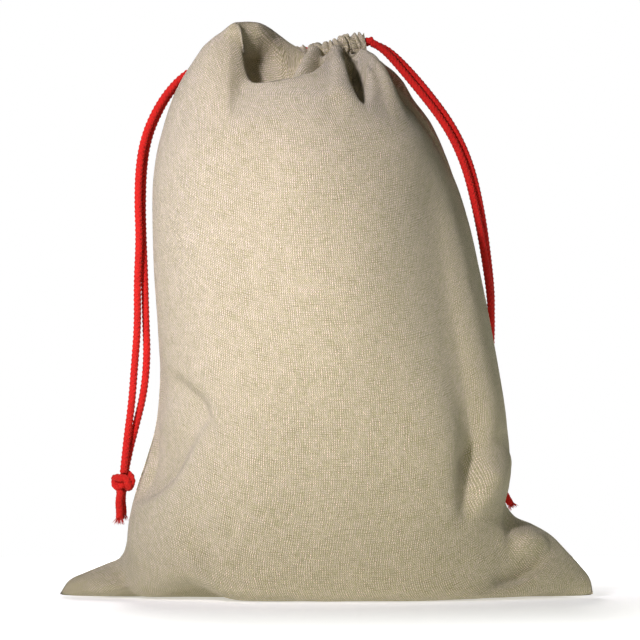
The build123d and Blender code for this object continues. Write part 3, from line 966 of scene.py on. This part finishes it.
def hem_surface(front, seed):
    """Points of the ruffled hem: stations along it by angles round it.

    Angle 0 faces out, and a quarter turn faces up.
    """
    flat, along, stray, size = hem_shape(front, seed)
    sign = -1 if front else 1
    tangent = np.gradient(flat, axis=0)
    tangent /= np.linalg.norm(tangent, axis=1)[:, None]
    out = np.cross(tangent, (0, 0, 1)) * (1 if front else -1)
    out /= np.linalg.norm(out, axis=1)[:, None]
    up = np.cross(out, tangent) * (1 if front else -1)
    up *= np.sign(up[:, 2])[:, None]
    turn = np.linspace(0, 2 * np.pi, HEM_SIDES, endpoint=False)
    c, s = np.cos(turn), np.sin(turn)
    top = np.interp(flat[:, 0], *HEM_TOP)[:, None]
    high = np.where(s > 0, top, HEM_BELOW)
    wide = HEM_HALF - step(s, -0.2, -0.95)
    round_c, round_s = np.sign(c) * abs(c) ** 0.85, np.sign(s) * abs(s) ** 0.9
    lean = np.interp(flat[:, 0], *HEM_LEAN)[:, None]
    phase = along[:, None] / 5.5 + stray[:, None] + lean * s * 0.45
    wave = abs(np.sin(np.pi * phase)) * 2 - 1.15
    fine = abs(np.sin(np.pi * (phase * 2.3 + 0.3))) - 0.6
    outside = step(c + 0.2, -0.5, 0.6)
    swell = (1.55 * wave + 0.35 * fine) * size[:, None]
    from_line = turn - 2 * np.pi + STITCH_TURN
    line = 1 - 0.75 * np.exp(-(from_line / 0.16) ** 2)
    reach = wide * round_c + swell * outside * line * np.where(c > 0, 1, 0.4) * abs(c) ** 0.4
    rise = high * round_s + 1.25 * swell * step(s, 0.2, 0.95) - 0.6 * swell * step(s, -0.5, -1.0)
    pinch = 1 - 0.16 * np.exp(-(from_line / 0.14) ** 2)
    surface = (flat[:, None] + out[:, None] * (reach * pinch)[..., None]
               + up[:, None] * rise[..., None])
    return surface, flat, out, up


def hem_piece(name, front, seed):
    """The gathered hem, with a mouth of its tunnel at each end."""
    surface, flat, out, up = hem_surface(front, seed)
    turn = np.linspace(0, 2 * np.pi, HEM_SIDES, endpoint=False)
    hole = (out[:, None] * np.cos(turn)[None, :, None]
            + up[:, None] * np.sin(turn)[None, :, None]) * TUNNEL_R + flat[:, None]
    inward = max(int(len(flat) * 0.12), 4)
    first = [hole[k] for k in np.linspace(inward, 0, 5).astype(int)]
    last = [hole[-1 - k] for k in np.linspace(0, inward, 5).astype(int)]
    lips = [hole[end] * 0.35 + surface[end] * 0.65 for end in (0, -1)]
    rings = np.array([*first, lips[0], *surface, lips[1], *last]) / 1000
    rows, columns = rings.shape[:2]
    faces = tube_faces(rows, columns)
    if front:
        faces = [f[::-1] for f in faces]
    along = lengths_along(rings.mean(axis=1))
    flatmap = np.meshgrid(along * 2.2, np.linspace(0, 0.04, columns), indexing="ij")
    flatmap = np.stack(flatmap, axis=-1).reshape(-1, 2)
    corner = np.array([v for f in faces for v in f])
    piece = mesh_piece(name, rings.reshape(-1, 3), faces, LINEN, uv=flatmap[corner])
    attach(piece, "root")
    return piece, surface


def thread_run(name, chains, radius, sides=8):
    """Short lengths of sewing thread with rounded ends, all in one piece."""
    points, faces = [], []
    for chain in chains:
        chain = np.asarray(chain, float)
        sides_at, ups_at = frames_along(chain)
        taper = np.sin(np.linspace(0.18, np.pi - 0.18, len(chain))) ** 0.4
        start = len(points)
        for middle, side, up, size in zip(chain, sides_at, ups_at, taper):
            for k in range(sides):
                a = 2 * np.pi * k / sides
                points.append(middle + (side * np.cos(a) + up * np.sin(a)) * radius * size)
        faces += tube_faces(len(chain), sides, start)
    piece = mesh_piece(name, points, faces, THREAD)
    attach(piece, "root")
    return piece


def hem_stitches(name, surface):
    """Running stitches that sink into the hem below the tunnel."""
    row = int(round((2 * np.pi - STITCH_TURN) / (2 * np.pi) * HEM_SIDES)) % HEM_SIDES
    line, middle = surface[:, row] / 1000, surface.mean(axis=1) / 1000
    away = line - middle
    away /= np.linalg.norm(away, axis=1)[:, None]
    length = lengths_along(line)
    chains = []
    for start in np.arange(0.0015, length[-1] - 0.0025, STITCH_PITCH):
        t = np.linspace(start, start + STITCH_LONG, 7)
        place = np.stack([np.interp(t, length, axis) for axis in line.T], axis=1)
        lift = np.stack([np.interp(t, length, axis) for axis in away.T], axis=1)
        bow = np.sin(np.linspace(0, np.pi, 7))[:, None] * 0.00032 - 0.00008
        chains.append(place + lift * bow)
    return thread_run(name, chains, 0.0003)


def bartack_piece(side):
    """A dense bar of stitches across the end of the hem."""
    low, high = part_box(f"{side}_bartack")
    front_y = low.y - 0.0004
    chains = []
    for k, z in enumerate(np.arange(low.z + 0.0004, high.z, 0.00055)):
        drift = 0.0002 * math.sin(k * 2.1)
        x = np.linspace(low.x + drift, high.x + drift, 6)
        y = front_y + 0.0002 * np.cos(np.linspace(0, np.pi, 6) * 2)
        for depth in (y, -y):
            chains.append(np.stack([x, depth, np.linspace(z, z + 0.0005, 6)], axis=1))
    piece = thread_run(f"{side}_bartack_thread", chains, 0.00032, 6)
    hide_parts(f"{side}_bartack")
    return piece


for side, seed in (("front", 21), ("back", 34)):
    hem, surface = hem_piece(f"{side}_gathered_hem", side == "front", seed)
    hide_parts(f"{side}_casing")
    stitches = hem_stitches(f"{side}_hem_stitches", surface)
    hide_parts(f"{side}_casing_stitch")
for side in ("left", "right"):
    bartack_piece(side)


# ---------------------------------------------------------------- floor

def make_floor():
    turn = np.linspace(0, 2 * np.pi, 96, endpoint=False)
    rim = np.stack([np.cos(turn), np.sin(turn), turn * 0], axis=1)
    floor = mesh_piece("floor", rim, [tuple(range(96))], floor_material())


make_floor()
for name, material in (("linen", LINEN), ("thread", THREAD)):
    for row in frame["record"]["subparts"]:
        if row["material_slot"] == name:
            frame["nodes"][row["node"]].data.materials.clear()
            frame["nodes"][row["node"]].data.materials.append(material)
